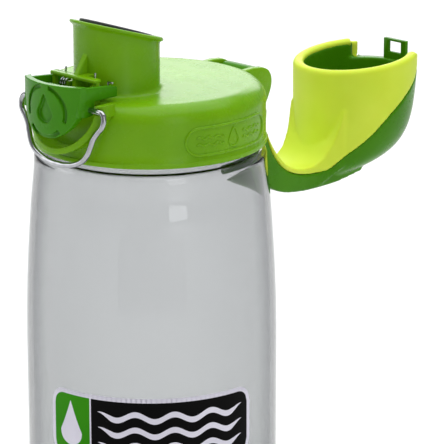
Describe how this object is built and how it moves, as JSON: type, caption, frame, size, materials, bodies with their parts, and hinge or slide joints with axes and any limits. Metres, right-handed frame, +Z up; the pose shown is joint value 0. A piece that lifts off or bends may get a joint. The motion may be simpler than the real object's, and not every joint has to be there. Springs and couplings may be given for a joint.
{
  "type": "drinking bottle",
  "caption": "Clear drinking bottle with a screw cap, slanted spout, flip-over hood with carry loop, push-button latch and wire lock bail.",
  "frame": {"origin": "centre of the bottle's base, on the surface it stands on", "axes": "+Z up along the bottle's axis, -Y towards the latch and the drinking side, +Y towards the hood's hinge"},
  "size_m": [0.0728, 0.1501, 0.176],
  "materials": {
    "clear_plastic": "gloss, clear",
    "green_plastic": "gloss moulded",
    "deep_green_plastic": "gloss moulded",
    "button_green_plastic": "gloss moulded",
    "lime_rubber": "satin soft touch",
    "grey_silicone": "satin",
    "dark_silicone": "satin",
    "steel_wire": "polished"
  },
  "bodies": {
    "vessel": {"bottle": "clear_plastic"},
    "gasket": {"neck_gasket": "grey_silicone"},
    "closure": {"cap": "green_plastic", "spout_seal": "dark_silicone", "hinge_pin": "steel_wire", "latch_springs": "steel_wire"},
    "hood": {"hood_core": "deep_green_plastic", "hood_grip": "lime_rubber"},
    "button": {"latch_button": "button_green_plastic"},
    "bail": {"lock_bail": "steel_wire"}
  },
  "joints": [
    {"name": "cap_lift", "type": "slide", "parent": "vessel", "child": "gasket", "axis": [0, 0, 1], "range_m": [0, 0.0051]},
    {"name": "cap_turn", "type": "hinge", "parent": "gasket", "child": "closure", "pos_m": [0, 0, 0.1375], "axis": [0, 0, 1], "range_deg": [0, 450]},
    {"name": "hood_swing", "type": "hinge", "parent": "closure", "child": "hood", "pos_m": [0, 0.0375, 0.1498], "axis": [1, 0, 0], "range_deg": [0, 175.5]},
    {"name": "latch_press", "type": "hinge", "parent": "closure", "child": "button", "pos_m": [0, -0.0338, 0.154], "axis": [1, 0, 0], "range_deg": [0, 13], "stiffness_Nm_per_rad": 0.003, "springref_deg": -17.19, "deforming": ["latch_springs"]},
    {"name": "bail_swing", "type": "hinge", "parent": "closure", "child": "bail", "pos_m": [0, -0.0338, 0.154], "axis": [-1, 0, 0], "range_deg": [0, 168]}
  ],
  "couplings": [
    {"joint": "cap_lift", "follows": "cap_turn", "m_per_rad": 0.00063662}
  ]
}
